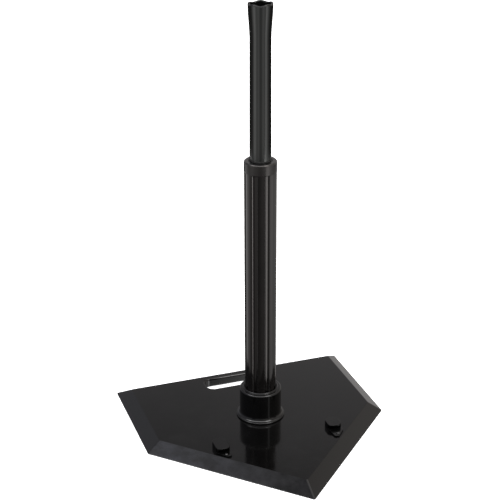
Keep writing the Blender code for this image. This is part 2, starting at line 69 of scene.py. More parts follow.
# Base plate
PLATE_LIP = 0.0015  # upright edge below the bevel
BEVEL_RUN = 0.0234
PLATE_CORNER_R = 0.0030
EDGE_ROUND = 0.0011
LIP_ROUND = 0.0004
VOID_INSET = 0.0300
VOID_DEPTH = 0.0100
VOID_DRAFT = 0.0012
RIB_WIDTH = 0.0050
RIB_LENGTH = 0.8  # past the plate on both sides
RIB_ANGLES = (0, 45, 90, 135)
BOSS_R = 0.0540
PAD_R = 0.0110
SLOT_Y = 0.1255
SLOT_LENGTH = 0.1195
SLOT_WIDTH = 0.0350
SLOT_CORNER_R = 0.0120
SLOT_LIP_ROUND = 0.0035
SLOT_WALL = 0.0080

# Socket collar
SEAT = 0.0003
COLLAR_R = 0.0360
COLLAR_BORE_R = 0.0276
COLLAR_SHOULDER_Z = 0.0707
COLLAR_SHOULDER_ROUND = 0.0026
COLLAR_LIP_R = 0.0304
COLLAR_LIP_ROUND = 0.0014
COLLAR_FOOT_R = COLLAR_HIGH.x
COLLAR_FOOT_BEAD_R = 0.0016
COLLAR_FOOT_HEIGHT = 0.0105
FLOOR_FLANGE_TOP_Z = 0.0031
FLOOR_CHAMFER = 0.0004
LOCK_RING_ROUND = 0.0008
LOCK_RING_GAP = 0.0005

# Hooks and rivets
HOOK_ROOF_REACH = {"left": 0.0340, "right": 0.0260}
HOOK_FOOT_SHOULDERS = (0.0305, 0.0240)
HOOK_TONGUE = (0.0020, 0.0100)
HOOK_TONGUE_ROUND = 0.0038
HOOK_FOOT_HEIGHT = 0.0024
HOOK_FOOT_ROUND = 0.0005
HOOK_FOOT_HIDDEN = 0.004  # how far short of the hood's back the foot stops, inside the hood
HOOK_ROOF_WALL = 0.0030
HOOK_SIDE_WALL = 0.0024
HOOK_CORNER_R = 0.0078
HOOK_EDGE_ROUND = 0.0007
RIVET_X = 0.1000
RIVET_Y = -0.1108
RIVET_SHANK_R = 0.0013
RIVET_HOLE_R = 0.0016
RIVET_POCKET_R = 0.0036
RIVET_POCKET_DEPTH = 0.008
RIVET_EDGE_ROUND = 0.0004
RIVET_HEAD_LIP = 0.0003
RIVET_TAIL_HEIGHT = 0.0012

# Lower tube
STEM_R = STEM_HIGH.x
STEM_BORE_R = 0.0197
STEM_EDGE_ROUND = 0.0022
STEM_BORE_ROUND = 0.0008
STEM_FOOT_CHAMFER = 0.0008
FLUTE_COUNT = 8
FLUTE_PHASE = radians(95.5)
FLUTE_HALF_ANGLE = radians(10.0)
FLUTE_DEPTH = 0.0022
FLUTE_FULLNESS = 0.62  # below 1 the flute is steeper at its sides and flatter at its floor
FLUTE_TOP_Z = 0.4690
FLUTE_RUNOUT = 0.0020
FLUTE_STEPS = 16
LAND_R = STEM_R - 0.00025  # the fluted part is a shade slimmer than the plain band
BAND_STEP_Z = (FLUTE_TOP_Z + 0.0002, FLUTE_TOP_Z + 0.0006)
LAND_STEPS = 8

PLUG_FLANGE_TOP_Z = 0.0102
PLUG_FLANGE_ROUND = 0.001
PLUG_ROUND = 0.002
BUSH_BORE_R = 0.0180

# Upper tube and its ball cup
TUBE_LOW_R = 0.0177
TUBE_HIGH_R = 0.0171
TUBE_BORE_R = 0.0135
TUBE_FLANGE_R = 0.0190  # below the grip ring, which stands between it and the bead
TUBE_BEAD_R = (0.0187, 0.0183)  # under the bead and over it; the bead keeps the grip ring in its seat
TUBE_BEAD_Z = (0.2980, 0.2990)  # where its slope begins and where it meets the tube
TUBE_TAPER_Z = 0.4900
FLARE_Z = 0.6876
FLARE_STRAIGHT = 0.35  # 1 would be a plain cone, 0 an S-curve
CUP_R = 0.0201
CUP_BORE_R = 0.0162
CUP_LOBES = 5
CUP_LOBE_PHASE = radians(70.0)
NOTCH_DEPTH = 0.0020
NOTCH_FADE = 0.0120
TUBE_STEPS = 120

# Coil
COIL_PLUG_ROUND = 0.0010
COIL_TURNS = 14
COIL_STEPS = 40
COIL_SIDES = 12
COIL_WIRE_R = 0.0014

# Camera: where it stands round the post's foot, and what it is aimed beside
CAMERA_AZIMUTH = radians(-16.884)
CAMERA_ELEVATION = radians(23.577)
CAMERA_ROLL = radians(-1.229)
CAMERA_DISTANCE = 2.2643
CAMERA_RIGHT = -0.1120
CAMERA_UP = 0.3071
CAMERA_LENS = 92.500
CAMERA_SHIFT = (0.1063, -0.0063)


# ---- mesh tools -----------------------------------------------------------------------------------


def finish_mesh(bm, name):
    bmesh.ops.remove_doubles(bm, verts=bm.verts, dist=1e-7)
    bmesh.ops.recalc_face_normals(bm, faces=bm.faces)
    if bm.calc_volume(signed=True) < 0:
        bmesh.ops.reverse_faces(bm, faces=bm.faces)
    mesh = bpy.data.meshes.new(name)
    bm.to_mesh(mesh)
    bm.free()
    return mesh


def add_piece(name, mesh, body, finish, replaced=None):
    """A visible piece that rides on a body and stands for a CAD node."""
    mesh.shade_smooth()
    mesh.set_sharp_from_angle(angle=SHARP_ANGLE)
    mesh.materials.clear()
    mesh.materials.append(finish)
    piece = bpy.data.objects.new(name, mesh)
    bpy.context.scene.collection.objects.link(piece)
    weigh = piece.modifiers.new("flat_faces", "WEIGHTED_NORMAL")
    weigh.keep_sharp = True
    weigh.weight = 80
    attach(piece, body)
    if replaced:
        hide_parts(replaced)
    return piece


def loft(rings, around=False):
    """Skins a stack of equal rings. With around the last joins the first, or else both ends are capped."""
    bm = bmesh.new()
    rows = [[bm.verts.new(point) for point in ring] for ring in rings]
    pairs = list(zip(rows, rows[1:]))
    if around:
        pairs.append((rows[-1], rows[0]))
    else:
        bm.faces.new(rows[0])
        bm.faces.new(rows[-1])
    count = len(rows[0])
    for low, high in pairs:
        for i in range(count):
            j = (i + 1) % count
            bm.faces.new((low[i], low[j], high[j], high[i]))
    return bm


def circle(radius, z, steps=ROUND_STEPS, centre=(0, 0)):
    angles = [2 * pi * i / steps for i in range(steps)]
    return [(centre[0] + radius * cos(a), centre[1] + radius * sin(a), z) for a in angles]


def turned(profile, steps=ROUND_STEPS, around=False, centre=(0, 0)):
    """A turned piece from (radius, z) points. With around the points are a closed loop about a bore."""
    return loft([circle(radius, z, steps, centre) for radius, z in profile], around)


def arc(centre_r, centre_z, radius, start, end, steps=8):
    """Points of an arc in the (radius, z) plane between two angles in degrees."""
    angles = [radians(start + (end - start) * i / steps) for i in range(steps + 1)]
    return [(centre_r + radius * cos(a), centre_z + radius * sin(a)) for a in angles]


def span(low, high, steps):
    return [low + (high - low) * i / steps for i in range(steps + 1)]


def rounded(corners, radius, steps=8):
    """An anticlockwise outline with each corner replaced by an arc."""
    corners = [Vector(corner) for corner in corners]
    points = []
    for i, corner in enumerate(corners):
        back = (corners[i - 1] - corner).normalized()
        ahead = (corners[(i + 1) % len(corners)] - corner).normalized()
        half_angle = back.angle(ahead) / 2
        centre = corner + (back + ahead).normalized() * radius / sin(half_angle)
        first = corner + back * radius / tan(half_angle) - centre
        start = atan2(first.y, first.x)
        for step in range(steps + 1):
            angle = start + (pi - 2 * half_angle) * step / steps
            points.append((centre.x + radius * cos(angle), centre.y + radius * sin(angle)))
    return points


def shrunk(outline, distance):
    """An anticlockwise outline moved inwards."""
    moved = []
    for i, (x, y) in enumerate(outline):
        along = (Vector(outline[(i + 1) % len(outline)]) - Vector(outline[i - 1])).normalized()
        moved.append((x - along.y * distance, y + along.x * distance))
    return moved


def soft_ring(inner_r, low, high, outer_r, edge):
    """The closed (radius, z) profile of a plain ring with rounded outer edges."""
    profile = arc(outer_r - edge, low + edge, edge, -90, 0, 5)
    profile += arc(outer_r - edge, high - edge, edge, 0, 90, 5)
    return profile + [(inner_r, high), (inner_r, low)]


def carve(mesh, cutters, operation="DIFFERENCE"):
    """The mesh after Booleans with some cutter bmeshes, as a new mesh."""
    body = bpy.data.objects.new("carving", mesh)
    bpy.context.scene.collection.objects.link(body)
    tools = [body]
    for cutter in cutters:
        tool = bpy.data.objects.new("cutter", finish_mesh(cutter, "cutter"))
        bpy.context.scene.collection.objects.link(tool)
        modifier = body.modifiers.new("cut", "BOOLEAN")
        modifier.operation = operation
        modifier.object = tool
        modifier.solver = "EXACT"
        tools.append(tool)
    graph = bpy.context.evaluated_depsgraph_get()
    made = bpy.data.meshes.new_from_object(body.evaluated_get(graph))
    for tool in tools:
        bpy.data.objects.remove(tool)
    return made


def block(centre, size, turn=0.0):
    """A box turned about the post's axis."""
    bm = bmesh.new()
    bmesh.ops.create_cube(bm, size=1)
    bmesh.ops.scale(bm, vec=size, verts=bm.verts)
    bmesh.ops.translate(bm, vec=centre, verts=bm.verts)
    bmesh.ops.rotate(bm, cent=(0, 0, 0), matrix=Matrix.Rotation(turn, 3, "Z"), verts=bm.verts)
    return bm


# ---- finishes -------------------------------------------------------------------------------------


class Graph:
    """A short way to write shader nodes: each call adds one node and links its inputs by name or number."""

    def __init__(self, name):
        self.material = bpy.data.materials.new(name)
        self.material.use_nodes = True
        self.tree = self.material.node_tree
        self.shader = self.tree.nodes["Principled BSDF"]
        self.place = self.add("ShaderNodeTexCoord").outputs["Object"]

    def add(self, kind, settings=None, **inputs):
        node = self.tree.nodes.new(kind)
        for key, value in (settings or {}).items():
            setattr(node, key, value)
        for key, value in inputs.items():
            self.feed(node.inputs[key.replace("_", " ")], value)
        return node

    def feed(self, socket, value):
        if hasattr(value, "is_output"):
            self.tree.links.new(value, socket)
        else:
            socket.default_value = value

    def maths(self, operation, first, second=0.0):
        node = self.add("ShaderNodeMath", {"operation": operation})
        self.feed(node.inputs[0], first)
        self.feed(node.inputs[1], second)
        return node.outputs[0]

    def scaled(self, value, low, high, to_low, to_high):
        """value carried from the span low..high to to_low..to_high, and held at its ends."""
        node = self.add("ShaderNodeMapRange")
        for socket, number in zip(node.inputs, (value, low, high, to_low, to_high)):
            self.feed(socket, number)
        return node.outputs[0]

    def noise(self, scale, detail=3.0, rough=0.5, stretch=(1, 1, 1)):
        place = self.place
        if stretch != (1, 1, 1):
            place = self.add("ShaderNodeMapping", Vector=place, Scale=stretch).outputs[0]
        made = self.add("ShaderNodeTexNoise", Vector=place, Scale=scale, Detail=detail, Roughness=rough)
        return made.outputs[0]

    def blend(self, share, first, second):
        node = self.add("ShaderNodeMix", {"data_type": "RGBA"})
        self.feed(node.inputs[0], share)
        self.feed(node.inputs[6], first)
        self.feed(node.inputs[7], second)
        return node.outputs[2]

    def bump(self, height, depth, under=None):
        node = self.add("ShaderNodeBump", Height=height, Distance=depth, Strength=1.0)
        if under:
            self.feed(node.inputs["Normal"], under)
        return node.outputs[0]


def colour(value, tint=(1, 1, 1)):
    return (*(value * part for part in tint), 1.0)


def moulded(name, shade, roughness, tint=(1, 1, 1), grain_depth=0.00004, dust=0.3, extra=None,
            sheen=(1, 1, 1)):
    """Moulded black rubber or plastic: fine grain, cloudy gloss, rubbed edges and dust on upward faces."""
    g = Graph(name)
    cloud = g.noise(28, 4.0, 0.6)
    fine = g.noise(1400, 2.0, 0.55)
    scuff = g.noise(60, 6.0, 0.7, stretch=(1, 1, 0.25))
    surface = g.add("ShaderNodeNewGeometry")
    edge = g.scaled(surface.outputs["Pointiness"], 0.52, 0.60, 0.0, 0.5)
    upward = g.add("ShaderNodeSeparateXYZ", Vector=surface.outputs["Normal"]).outputs["Z"]
    powder = g.maths("MULTIPLY", g.scaled(upward, 0.4, 1.0, 0.0, dust), g.scaled(cloud, 0.45, 0.7, 0.0, 1.0))
    patches = g.scaled(cloud, 0.35, 0.7, 0.0, 1.0)
    base = g.blend(patches, colour(shade * 0.75, tint), colour(shade * 1.25, tint))
    base = g.blend(edge, base, colour(shade * 2.4, tint))
    base = g.blend(powder, base, colour(shade * 2.0 + 0.002))
    uneven = g.maths("ADD", g.scaled(cloud, 0.3, 0.7, -0.03, 0.03), g.scaled(scuff, 0.5, 0.75, 0.0, 0.06))
    gloss = g.maths("ADD", g.maths("ADD", uneven, roughness), g.maths("MULTIPLY", powder, 0.15))
    if extra:
        base, gloss = extra(g, base, gloss)
    g.feed(g.shader.inputs["Base Color"], base)
    g.feed(g.shader.inputs["Specular Tint"], (*sheen, 1))
    g.feed(g.shader.inputs["Roughness"], gloss)
    g.feed(g.shader.inputs["Normal"], g.bump(scuff, grain_depth * 0.5, g.bump(fine, grain_depth)))
    return g.material


def flute_painted_light_and_gloss(g, base, gloss):
    """Painted shade on the flute floors, painted highlights on the flute shoulders, a duller band, and a
    polished rim that also carries a painted highlight.
    """
    band_z, rim_z = FLUTE_TOP_Z, STEM_HIGH.z
    flat = g.add("ShaderNodeVectorMath", {"operation": "MULTIPLY"})
    g.feed(flat.inputs[0], g.place)
    g.feed(flat.inputs[1], (1, 1, 0))
    reach = g.add("ShaderNodeVectorMath", {"operation": "LENGTH"}, Vector=flat.outputs[0]).outputs["Value"]
    floor = g.scaled(reach, LAND_R - FLUTE_DEPTH, LAND_R - FLUTE_DEPTH * 0.5, 0.6, 0.0)
    inner = g.scaled(reach, LAND_R - 0.0012, LAND_R - 0.0004, 0.0, 1.0)
    shoulder_highlight = g.maths("MULTIPLY", inner, g.scaled(reach, LAND_R - 0.00025, LAND_R - 0.00005, 0.75, 0.0))
    height = g.add("ShaderNodeSeparateXYZ", Vector=g.place).outputs["Z"]
    band = g.scaled(height, band_z - 0.001, band_z + 0.001, 0.0, 1.0)
    plain = g.maths("SUBTRACT", 1.0, band)
    # Painted shade: the flute floors in the fluted part are darkened towards near black, where shade falls
    # in the recesses.
    base = g.blend(g.maths("MULTIPLY", floor, plain), base, colour(0.0008))
    # Painted highlight: the flute shoulders in the fluted part are lightened.
    base = g.blend(g.maths("MULTIPLY", shoulder_highlight, plain), base, colour(0.030))
    # Painted highlight: a lighter band on the rim's rounding. The higher specular level there is real
    # polish.
    rim = g.scaled(height, rim_z - 0.0026, rim_z - 0.0016, 0.0, 1.0)
    base = g.blend(rim, base, colour(0.008))
    g.feed(g.shader.inputs["Specular IOR Level"], g.maths("ADD", 0.5, g.maths("MULTIPLY", rim, 0.4)))
    duller = g.maths("MULTIPLY", g.maths("SUBTRACT", band, rim), 0.20)
    return base, g.maths("ADD", gloss, duller)


def hook_gloss_and_painted_side_shade(g, base, gloss):
    """The hoods' roofs are rubbed glossy, while their sides are matt and darkened to black with painted
    shade.
    """
    surface = g.add("ShaderNodeNewGeometry")
    upward = g.add("ShaderNodeSeparateXYZ", Vector=surface.outputs["Normal"]).outputs["Z"]
    roof = g.scaled(upward, 0.75, 0.97, 0.0, 1.0)
    g.feed(g.shader.inputs["Specular IOR Level"], g.scaled(roof, 0.0, 1.0, 0.12, 0.55))
    # Painted shade: every face not facing up, the hoods' sides, is darkened to near black, and the roofs
    # keep the moulded colour.
    return g.blend(roof, colour(0.0004), base), gloss


def tube_mouth_painted_highlight(g, base, gloss):
    """A pale line painted on the upper tube just above the lower tube's mouth: a painted highlight."""
    height = g.add("ShaderNodeSeparateXYZ", Vector=g.place).outputs["Z"]
    mouth_z = STEM_HIGH.z
    under = g.scaled(height, mouth_z, mouth_z + 0.0010, 0.0, 1.0)
    over = g.scaled(height, mouth_z + 0.0022, mouth_z + 0.0036, 1.0, 0.0)
    # Painted highlight: a pale band from the mouth's height to about 3.6 mm above it.
    return g.blend(g.maths("MULTIPLY", under, over), base, colour(0.035)), gloss


def plate_bevel_gloss_and_painted_reflection(g, base, gloss):
    """The long front bevel is mottled, with a painted bluish reflection that brightens it towards its left
    end, and it is duller towards the apex.
    """
    facing = g.add("ShaderNodeSeparateXYZ", Vector=g.add("ShaderNodeNewGeometry").outputs["True Normal"])
    left = g.scaled(facing.outputs["X"], -0.34, -0.25, 1.0, 0.0)
    front = g.scaled(facing.outputs["Y"], -0.34, -0.25, 1.0, 0.0)
    bevel = g.maths("MULTIPLY", left, front)
    along = g.add("ShaderNodeSeparateXYZ", Vector=g.place).outputs["X"]
    blotch = g.noise(34, 3.0, 0.6, stretch=(1, 1, 2))
    level = g.maths("ADD", g.scaled(along, -0.15, 0.0, 0.50, 0.25), g.scaled(blotch, 0.3, 0.7, -0.12, 0.12))
    change = g.maths("MULTIPLY", bevel, g.maths("SUBTRACT", level, 0.5))
    g.feed(g.shader.inputs["Specular IOR Level"], g.maths("ADD", 0.5, change))
    # Painted reflection: a bluish lightening on the left front bevel. It is strongest at its left end, fades
    # towards the apex and is mottled by blotches.
    fade = g.scaled(along, -0.2, -0.04, 1.0, 0.0)
    painted_bevel_reflection = g.maths("MULTIPLY", g.maths("MULTIPLY", bevel, fade), g.scaled(blotch, 0.4, 0.65, 0.1, 1.0))
    return g.blend(painted_bevel_reflection, base, (0.0060, 0.0068, 0.0105, 1)), gloss


def metal(name, shade, roughness, wear=0.3):
    """Plated steel with fine turning marks and dull patches."""
    g = Graph(name)
    cloud = g.noise(90, 4.0, 0.6)
    marks = g.noise(700, 3.0, 0.6, stretch=(0.15, 0.15, 1.0))
    base = g.blend(g.scaled(cloud, 0.35, 0.7, 0.0, 1.0), colour(shade), colour(shade * (1 - wear)))
    g.feed(g.shader.inputs["Base Color"], base)
    g.feed(g.shader.inputs["Roughness"], g.scaled(cloud, 0.3, 0.7, roughness - 0.06, roughness + 0.1))
    g.feed(g.shader.inputs["Normal"], g.bump(marks, 0.00002))
    g.shader.inputs["Metallic"].default_value = 1.0
    return g.material


# ---- base -----------------------------------------------------------------------------------------


def plate_corners(inset):
    half = PLATE_WIDTH / 2 - inset
    side_y = BACK_EDGE_Y - PLATE_WIDTH / 2
    slant_y = side_y + inset * (sqrt(2) - 1)
    apex_y = side_y - PLATE_WIDTH / 2 + inset * sqrt(2)
    back_y = BACK_EDGE_Y - inset
    return [(-half, back_y), (-half, slant_y), (0, apex_y), (half, slant_y), (half, back_y)]


def plate_ring(inset, z):
    return [(x, y, z) for x, y in rounded(plate_corners(inset), PLATE_CORNER_R)]


def slot_ring(grow, z):
    """The handle slot's outline, grown outwards: an oblong along X with round corners."""
    half_x, half_y = SLOT_LENGTH / 2 + grow, SLOT_WIDTH / 2 + grow
    corners = [(-half_x, SLOT_Y - half_y), (half_x, SLOT_Y - half_y)]
    corners += [(half_x, SLOT_Y + half_y), (-half_x, SLOT_Y + half_y)]
    return [(x, y, z) for x, y in rounded(corners, SLOT_CORNER_R + grow, 14)]


def plate_void():
    """The hollow under the plate, less its boss, slot wall, ribs and pads."""
    rings = [plate_ring(VOID_INSET, -OVERCUT), plate_ring(VOID_INSET + VOID_DRAFT, VOID_DEPTH)]
    deep, tall = -2 * OVERCUT, VOID_DEPTH + OVERCUT
    stays = [turned([(BOSS_R, deep), (BOSS_R + VOID_DRAFT, tall)])]
    stays.append(loft([slot_ring(SLOT_WALL, deep), slot_ring(SLOT_WALL + VOID_DRAFT, tall)]))
    for angle in RIB_ANGLES:
        middle = (0, 0, (tall + deep) / 2)
        stays.append(block(middle, (RIB_LENGTH, RIB_WIDTH, tall - deep), radians(angle)))
    for side in (-1, 1):
        stays.append(turned([(PAD_R, deep), (PAD_R, tall)], SMALL_STEPS, centre=(side * RIVET_X, RIVET_Y)))
    return carve(finish_mesh(loft(rings), "void"), stays)


def slot_cutter():
    """The handle slot's cutter, which widens to a rounded lip at both faces of the plate."""
    lip = SLOT_LIP_ROUND
    turns = [pi / 2 * i / 8 for i in range(9)]
    rings = [slot_ring(lip, -OVERCUT)]
    rings += [slot_ring(lip * (1 - sin(a)), lip * (1 - cos(a))) for a in turns]
    rings += [slot_ring(lip * (1 - cos(a)), PLATE_HEIGHT - lip * (1 - sin(a))) for a in turns]
    rings.append(slot_ring(lip, PLATE_HEIGHT + OVERCUT))
    return loft(rings)


def base_plate(finish):
    slope = atan2(PLATE_HEIGHT - PLATE_LIP, BEVEL_RUN)
    top_reach = EDGE_ROUND * tan(slope / 2)
    rings = [plate_ring(TINY_ROUND, 0), plate_ring(0, TINY_ROUND), plate_ring(0, PLATE_LIP - LIP_ROUND)]
    rings.append(plate_ring(LIP_ROUND * cos(slope), PLATE_LIP + LIP_ROUND * sin(slope)))
    for i in range(7):
        bend = slope * (1 - i / 6)
        inset = BEVEL_RUN + top_reach - EDGE_ROUND * sin(bend)
        rings.append(plate_ring(inset, PLATE_HEIGHT - EDGE_ROUND * (1 - cos(bend))))
    mesh = finish_mesh(loft(rings), "base_shell")
    hole_r = COLLAR_R + SEAT
    pocket_r, pocket_z = LOCK_HIGH.x + LOCK_RING_GAP, LOCK_HIGH.z + SEAT
    over = PLATE_HEIGHT + OVERCUT
    hole = [(pocket_r, -OVERCUT), (pocket_r, pocket_z), (hole_r, pocket_z), (hole_r, over)]
    cutters = [slot_cutter(), turned(hole)]
    for side in (-1, 1):
        for radius, top in ((RIVET_HOLE_R, over), (RIVET_POCKET_R, RIVET_POCKET_DEPTH)):
            profile = [(radius, -OVERCUT), (radius, top)]
            cutters.append(turned(profile, SMALL_STEPS, centre=(side * RIVET_X, RIVET_Y)))
    void = bmesh.new()
    void.from_mesh(plate_void())
    mesh = carve(mesh, [void] + cutters)
    return add_piece("base_shell", mesh, "base", finish, "base_plate")


def socket_collar(finish):
    seat, top, low = PLATE_HEIGHT + SEAT, COLLAR_HIGH.z, COLLAR_LOW.z
    bead_r, bend, edge = COLLAR_FOOT_BEAD_R, COLLAR_SHOULDER_ROUND, COLLAR_LIP_ROUND
    bead = arc(COLLAR_FOOT_R - bead_r, seat + bead_r, bead_r, -75, 80, 14)
    neck_r, neck_z = bead[-1]
    rise = seat + COLLAR_FOOT_HEIGHT - neck_z
    profile = [(COLLAR_R - TINY_ROUND, low), (COLLAR_R, low + TINY_ROUND), (COLLAR_R, seat), *bead]
    for i in range(1, 13):
        a = pi / 2 * i / 12
        profile.append((neck_r - (neck_r - COLLAR_R) * sin(a), neck_z + rise * (1 - cos(a))))
    profile += [(COLLAR_R, z) for z in span(seat + COLLAR_FOOT_HEIGHT, COLLAR_SHOULDER_Z - bend, 4)[1:-1]]
    profile += arc(COLLAR_R - bend, COLLAR_SHOULDER_Z - bend, bend, 0, 90, 10)
    profile += arc(COLLAR_LIP_R + TINY_ROUND, COLLAR_SHOULDER_Z + TINY_ROUND, TINY_ROUND, 270, 180, 5)
    profile += arc(COLLAR_LIP_R - edge, top - edge, edge, 0, 90, 8)
    profile += arc(COLLAR_BORE_R + edge / 2, top - edge / 2, edge / 2, 90, 180, 6)
    profile.append((COLLAR_BORE_R, low))
    mesh = finish_mesh(turned(profile, around=True), "collar_shell")
    return add_piece("collar_shell", mesh, "base", finish, "socket_collar")


def hook_shell(name, side, finish):
    """A low hood with a rounded roof, closed at its back and sides. Its foot narrows to a riveted tongue."""
    low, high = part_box(f"stem_hook_{name}")
    middle, half = (low.x + high.x) / 2, (high.x - low.x) / 2
    back, tip, front = high.y, low.y, high.y - HOOK_ROOF_REACH[name]
    foot_z = low.z + HOOK_FOOT_HEIGHT
    hood = rounded([(-half, front), (half, front), (half, back), (-half, back)], HOOK_CORNER_R, 12)
    levels = [(0, low.z), (0, foot_z)]
    for i in range(9):
        a = pi / 2 * i / 8
        levels.append((HOOK_EDGE_ROUND * (1 - cos(a)), high.z - HOOK_EDGE_ROUND * (1 - sin(a))))
    rings = [[(middle + x, y, z) for x, y in shrunk(hood, inset)] for inset, z in levels]
    body = finish_mesh(loft(rings), "hood")
    outer_y, inner_y = (back - reach for reach in HOOK_FOOT_SHOULDERS)
    near, far = HOOK_TONGUE
    hidden = back - HOOK_FOOT_HIDDEN
    foot = [(near, tip), (far, tip), (half, inner_y), (half, hidden), (-half, hidden), (-half, outer_y)]
    outline = [(-side * x, y) for x, y in rounded(foot, HOOK_TONGUE_ROUND, 8)]
    if side > 0:
        outline.reverse()
    bend = HOOK_FOOT_ROUND
    steps = [(0, low.z), (0, foot_z - bend), (0.3 * bend, foot_z - 0.3 * bend), (bend, foot_z)]
    spade = loft([[(middle + x, y, z) for x, y in shrunk(outline, inset)] for inset, z in steps])
    inner = half - HOOK_SIDE_WALL
    open_y, wall_y = tip - OVERCUT, back - HOOK_SIDE_WALL
    room = [(-inner, open_y), (inner, open_y), (inner, wall_y), (-inner, wall_y)]
    hollow = rounded(room, HOOK_CORNER_R / 2, 8)
    mouth = loft([[(middle + x, y, z) for x, y in hollow] for z in (foot_z, high.z - HOOK_ROOF_WALL)])
    drill = [(RIVET_HOLE_R, 0), (RIVET_HOLE_R, high.z)]
    hole = turned(drill, SMALL_STEPS, centre=(side * RIVET_X, RIVET_Y))
    mesh = carve(carve(carve(body, [mouth]), [spade], "UNION"), [hole])
    return add_piece(f"hook_shell_{name}", mesh, "base", finish, f"stem_hook_{name}")


def rivet_shell(name, side, finish):
    low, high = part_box(f"hook_rivet_{name}")
    seat = PLATE_HEIGHT + SEAT + HOOK_FOOT_HEIGHT + SEAT
    head_r, tail_z, edge = (high.x - low.x) / 2, low.z + RIVET_TAIL_HEIGHT, RIVET_EDGE_ROUND
    profile = [(edge, low.z)] + arc(head_r - edge, low.z + edge, edge, -90, 0, 4)
    profile += arc(head_r - edge, tail_z - edge, edge, 0, 90, 4)
    profile += [(RIVET_SHANK_R, tail_z), (RIVET_SHANK_R, seat), (head_r, seat)]
    dome_z = seat + RIVET_HEAD_LIP
    for i in range(10):
        a = pi / 2 * i / 10
        profile.append((head_r * cos(a), dome_z + (high.z - dome_z) * sin(a)))
    mesh = finish_mesh(turned(profile, SMALL_STEPS, centre=(side * RIVET_X, RIVET_Y)), "rivet")
    return add_piece(f"rivet_shell_{name}", mesh, "base", finish, f"hook_rivet_{name}")


def lock_ring(finish):
    profile = soft_ring(COLLAR_R + SEAT, LOCK_LOW.z, LOCK_HIGH.z, LOCK_HIGH.x, LOCK_RING_ROUND)
    mesh = finish_mesh(turned(profile, around=True), "lock_ring_shell")
    return add_piece("lock_ring_shell", mesh, "base", finish, "socket_lock_ring")


def socket_floor(finish):
    flange_r, plug_r = FLOOR_HIGH.x, COLLAR_BORE_R - SEAT
    edge, top = FLOOR_CHAMFER, FLOOR_FLANGE_TOP_Z
    profile = [(flange_r - edge, 0), (flange_r, edge), (flange_r, top - edge)]
    profile += [(flange_r - edge, top), (plug_r, top)]
    profile += arc(plug_r - TINY_ROUND, FLOOR_HIGH.z - TINY_ROUND, TINY_ROUND, 0, 90, 5)
    mesh = finish_mesh(turned(profile), "floor_shell")
    return add_piece("floor_shell", mesh, "base", finish, "socket_floor")


# ---- tubes ----------------------------------------------------------------------------------------


def flute_places():
    """Directions round the lower tube, each with its place across a flute: 0 on the land, 1 mid-flute."""
    pitch = 2 * pi / FLUTE_COUNT
    land = pitch - 2 * FLUTE_HALF_ANGLE
    places = []
    for flute in range(FLUTE_COUNT):
        centre = FLUTE_PHASE + flute * pitch
        for i in range(FLUTE_STEPS):
            across = -1 + 2 * i / FLUTE_STEPS
            places.append((centre + across * FLUTE_HALF_ANGLE, (1 - across * across) ** FLUTE_FULLNESS))
        for i in range(LAND_STEPS):
            places.append((centre + FLUTE_HALF_ANGLE + land * i / LAND_STEPS, 0))
    return places


def stem_ring(radius, z, depth=0.0):
    return [((radius - depth * p) * cos(a), (radius - depth * p) * sin(a), z) for a, p in flute_places()]


def lower_tube(finish):
    low, high = STEM_LOW.z, STEM_HIGH.z
    edge = STEM_EDGE_ROUND
    rings = [stem_ring(LAND_R - STEM_FOOT_CHAMFER, low, FLUTE_DEPTH)]
    runout_z = FLUTE_TOP_Z - FLUTE_RUNOUT
    heights = span(low + STEM_FOOT_CHAMFER, runout_z, 12)[:-1]
    rings += [stem_ring(LAND_R, z, FLUTE_DEPTH) for z in heights]
    for i in range(11):
        angle = pi / 2 * i / 10
        rings.append(stem_ring(LAND_R, runout_z + FLUTE_RUNOUT * sin(angle), FLUTE_DEPTH * cos(angle)))
    rings += [stem_ring(LAND_R, BAND_STEP_Z[0]), stem_ring(STEM_R, BAND_STEP_Z[1])]
    rings += [stem_ring(r, z) for r, z in arc(STEM_R - edge, high - edge, edge, 0, 90)]
    inner = arc(STEM_BORE_R + STEM_BORE_ROUND, high - STEM_BORE_ROUND, STEM_BORE_ROUND, 90, 180, 5)
    rings += [stem_ring(r, z) for r, z in inner]
    rings.append(stem_ring(STEM_BORE_R, low))
    mesh = finish_mesh(loft(rings, around=True), "stem_shell")
    return add_piece("stem_shell", mesh, "stem", finish, "lower_tube")


def stem_plug(finish):
    flange_r, shank_r = PLUG_HIGH.x, STEM_BORE_R - SEAT
    profile = arc(flange_r - PLUG_FLANGE_ROUND, PLUG_LOW.z + PLUG_FLANGE_ROUND, PLUG_FLANGE_ROUND, -90, 0, 5)
    profile += [(flange_r, PLUG_FLANGE_TOP_Z), (shank_r, PLUG_FLANGE_TOP_Z)]
    profile += arc(shank_r - PLUG_ROUND, PLUG_HIGH.z - PLUG_ROUND, PLUG_ROUND, 0, 90, 6)
    mesh = finish_mesh(turned(profile), "plug_shell")
    return add_piece("plug_shell", mesh, "stem_foot", finish, "stem_plug")


def mouth_bush(finish):
    profile = soft_ring(BUSH_BORE_R, BUSH_LOW.z, BUSH_HIGH.z, BUSH_HIGH.x, TINY_ROUND)
    mesh = finish_mesh(turned(profile, around=True), "bush_shell")
    return add_piece("bush_shell", mesh, "stem", finish, "mouth_bush")


def grip_ring(finish):
    profile = soft_ring(TUBE_LOW_R + SEAT, RING_LOW.z, RING_HIGH.z, RING_HIGH.x, TINY_ROUND)
    mesh = finish_mesh(turned(profile, around=True), "grip_shell")
    return add_piece("grip_shell", mesh, "slider", finish, "grip_ring")


def cup_ring(radius, z):
    """A ring of the upper tube, whose height dips between the cup's lobes near the top."""
    share = max(0.0, 1 - (TUBE_HIGH.z - z) / NOTCH_FADE)
    points = []
    for x, y, height in circle(radius, z, TUBE_STEPS):
        wave = (1 - cos(CUP_LOBES * (atan2(y, x) - CUP_LOBE_PHASE))) / 2
        points.append((x, y, height - NOTCH_DEPTH * wave * share))
    return points


def smooth(share):
    """An ease from 0 to 1 that starts and ends level."""
    return share * share * (3 - 2 * share)


